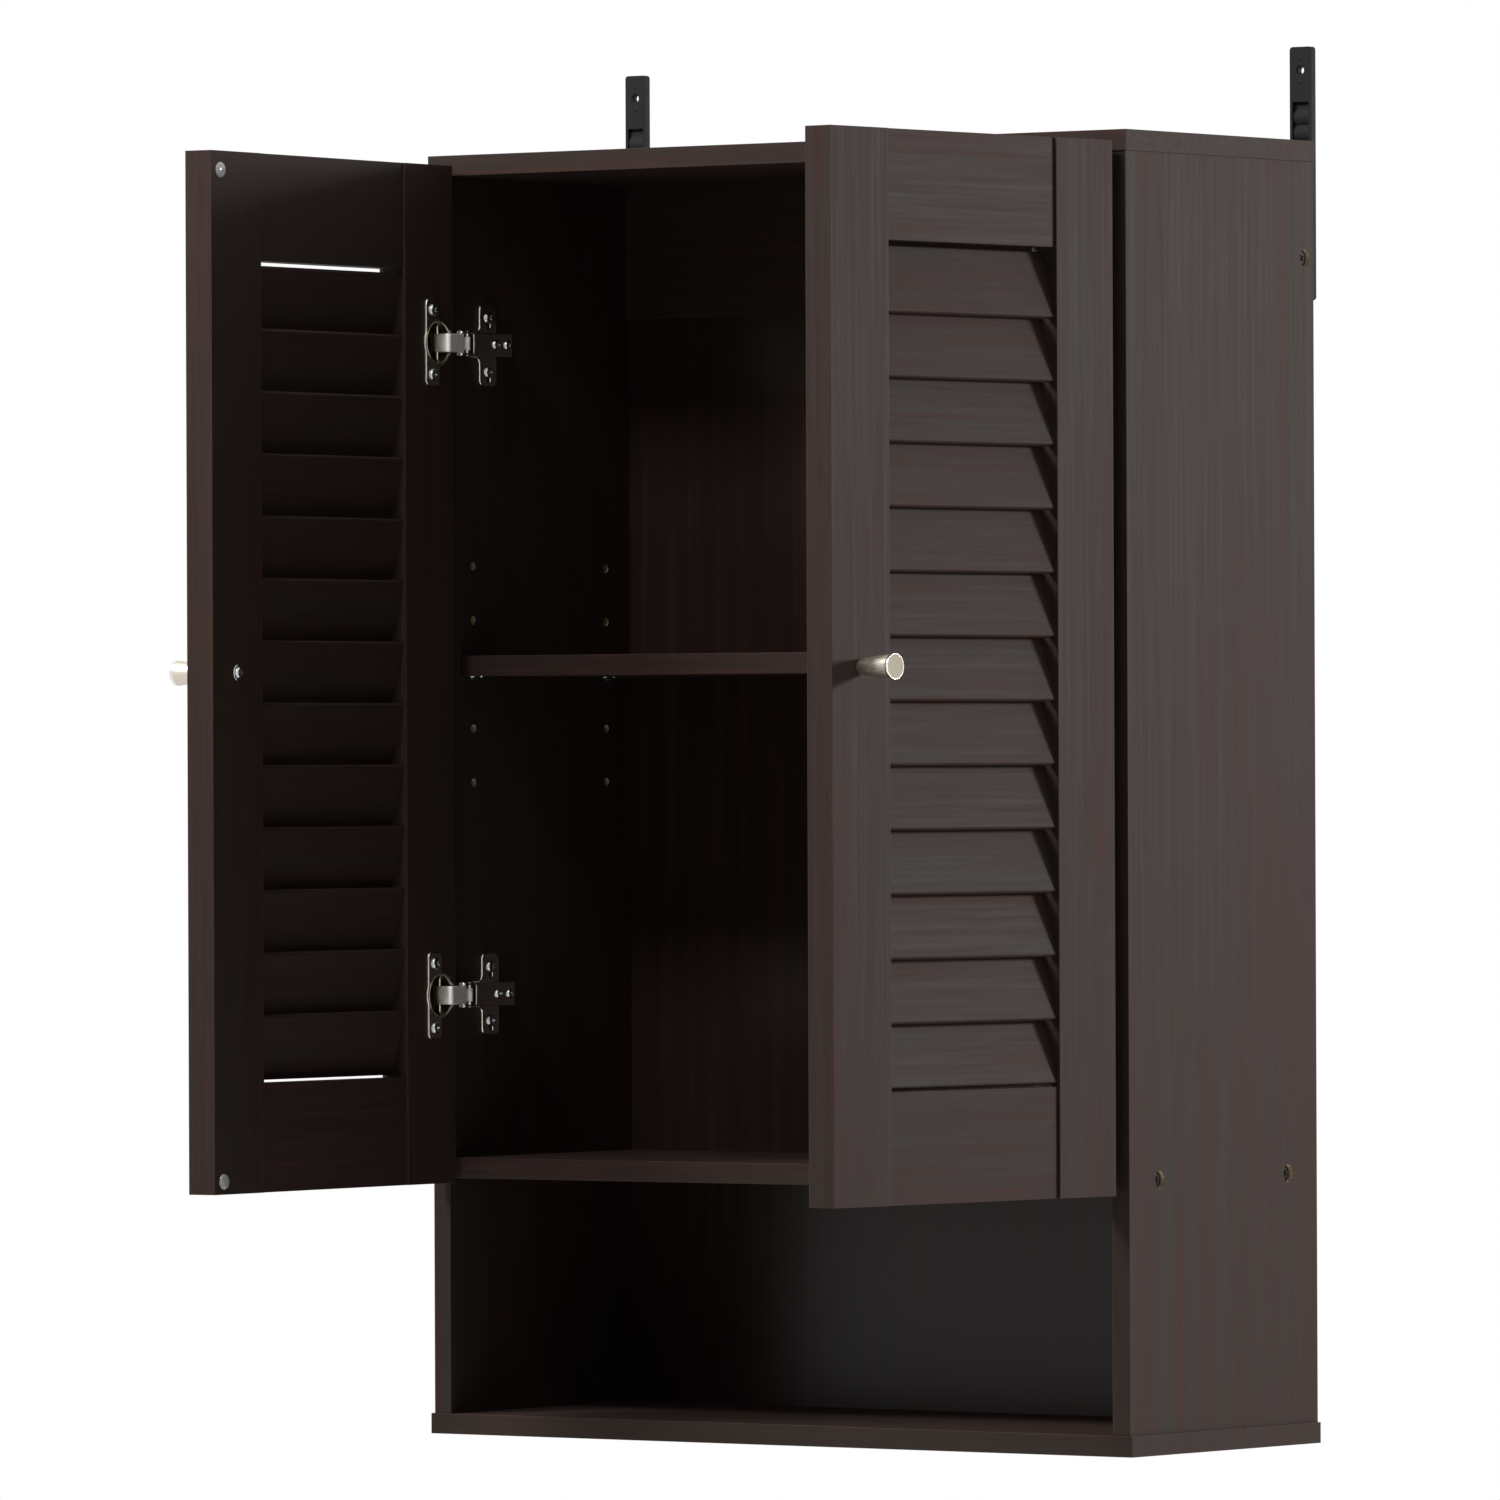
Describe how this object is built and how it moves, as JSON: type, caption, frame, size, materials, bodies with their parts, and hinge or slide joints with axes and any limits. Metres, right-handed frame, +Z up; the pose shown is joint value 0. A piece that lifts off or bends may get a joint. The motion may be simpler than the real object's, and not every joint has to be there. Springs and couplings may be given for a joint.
{
  "type": "wall cabinet",
  "caption": "Wall-hung cabinet with louvred doors on concealed hinges, an adjustable shelf inside, an open bay below and brackets for the wall.",
  "frame": {"origin": "midway between the two wall holes, on the wall", "axes": "+X to the right as seen from the room, +Y into the wall, +Z up"},
  "size_m": [0.5126, 0.4499, 0.809],
  "materials": {
    "carcass_laminate": "satin espresso laminate with a fine straight grain",
    "door_laminate": "satin espresso laminate with a fine straight grain",
    "back_laminate": "matt espresso paper on hardboard",
    "dowel_wood": "bare wood",
    "bracket_plastic": "moulded, matt black",
    "bumper_plastic": "clear and soft",
    "knob_metal": "satin nickel",
    "hinge_metal": "nickel plated",
    "bright_screws": "zinc plated",
    "dark_screws": "dark plated"
  },
  "bodies": {
    "cabinet": {"adjustable_shelf": "carcass_laminate", "back_panel": "back_laminate", "bottom_panel": "carcass_laminate", "bracket_screws": "bright_screws", "carcass_dowels": "dowel_wood", "carcass_screws": "dark_screws", "fixed_shelf": "carcass_laminate", "hanging_rail": "carcass_laminate", "hinge_arm_pins": "hinge_metal", "hinge_arm_screws": "bright_screws", "hinge_plate_screws": "bright_screws", "left_lower_hinge_arm": "hinge_metal", "left_lower_hinge_plate": "hinge_metal", "left_side_panel": "carcass_laminate", "left_upper_hinge_arm": "hinge_metal", "left_upper_hinge_plate": "hinge_metal", "left_wall_bracket": "bracket_plastic", "right_lower_hinge_arm": "hinge_metal", "right_lower_hinge_plate": "hinge_metal", "right_side_panel": "carcass_laminate", "right_upper_hinge_arm": "hinge_metal", "right_upper_hinge_plate": "hinge_metal", "right_wall_bracket": "bracket_plastic", "shelf_pins": "bright_screws", "top_panel": "carcass_laminate"},
    "left_door": {"left_hinge_stile": "door_laminate", "left_knob_stile": "door_laminate", "left_top_rail": "door_laminate", "left_bottom_rail": "door_laminate", "left_slats": "door_laminate", "left_door_dowels": "dowel_wood", "left_knob": "knob_metal", "left_knob_screw": "bright_screws", "left_bumpers": "bumper_plastic", "left_upper_hinge_cup": "hinge_metal", "left_lower_hinge_cup": "hinge_metal", "left_cup_screws": "bright_screws", "left_cup_pins": "hinge_metal"},
    "left_front_links": {"left_front_links": "hinge_metal"},
    "left_rear_links": {"left_rear_links": "hinge_metal"},
    "right_door": {"right_hinge_stile": "door_laminate", "right_knob_stile": "door_laminate", "right_top_rail": "door_laminate", "right_bottom_rail": "door_laminate", "right_slats": "door_laminate", "right_door_dowels": "dowel_wood", "right_knob": "knob_metal", "right_knob_screw": "bright_screws", "right_bumpers": "bumper_plastic", "right_upper_hinge_cup": "hinge_metal", "right_lower_hinge_cup": "hinge_metal", "right_cup_screws": "bright_screws", "right_cup_pins": "hinge_metal"},
    "right_front_links": {"right_front_links": "hinge_metal"},
    "right_rear_links": {"right_rear_links": "hinge_metal"}
  },
  "joints": [
    {"name": "left_front_links_turn", "type": "hinge", "parent": "cabinet", "child": "left_front_links", "pos_m": [-0.226, -0.19675, 0], "axis": [0, 0, -1], "range_deg": [-2.34, 44.2]},
    {"name": "left_rear_links_turn", "type": "hinge", "parent": "cabinet", "child": "left_rear_links", "pos_m": [-0.2255, -0.191, 0], "axis": [0, 0, -1], "range_deg": [-2.38, 45.05]},
    {"name": "left_door_turn", "type": "hinge", "parent": "left_front_links", "child": "left_door", "pos_m": [-0.23281, -0.21059, 0], "axis": [0, 0, -1], "range_deg": [-129.9, 6.04]},
    {"name": "right_front_links_turn", "type": "hinge", "parent": "cabinet", "child": "right_front_links", "pos_m": [0.226, -0.19675, 0], "axis": [0, 0, 1], "range_deg": [-2.34, 44.2]},
    {"name": "right_rear_links_turn", "type": "hinge", "parent": "cabinet", "child": "right_rear_links", "pos_m": [0.2255, -0.191, 0], "axis": [0, 0, 1], "range_deg": [-2.38, 45.05]},
    {"name": "right_door_turn", "type": "hinge", "parent": "right_front_links", "child": "right_door", "pos_m": [0.23281, -0.21059, 0], "axis": [0, 0, 1], "range_deg": [-129.9, 6.04]}
  ],
  "couplings": [
    {"joint": "left_front_links_turn", "follows": "left_door_turn", "ratio": -0.33795},
    {"joint": "left_rear_links_turn", "follows": "left_door_turn", "ratio": -0.34453},
    {"joint": "right_front_links_turn", "follows": "right_door_turn", "ratio": -0.33795},
    {"joint": "right_rear_links_turn", "follows": "right_door_turn", "ratio": -0.34453}
  ]
}
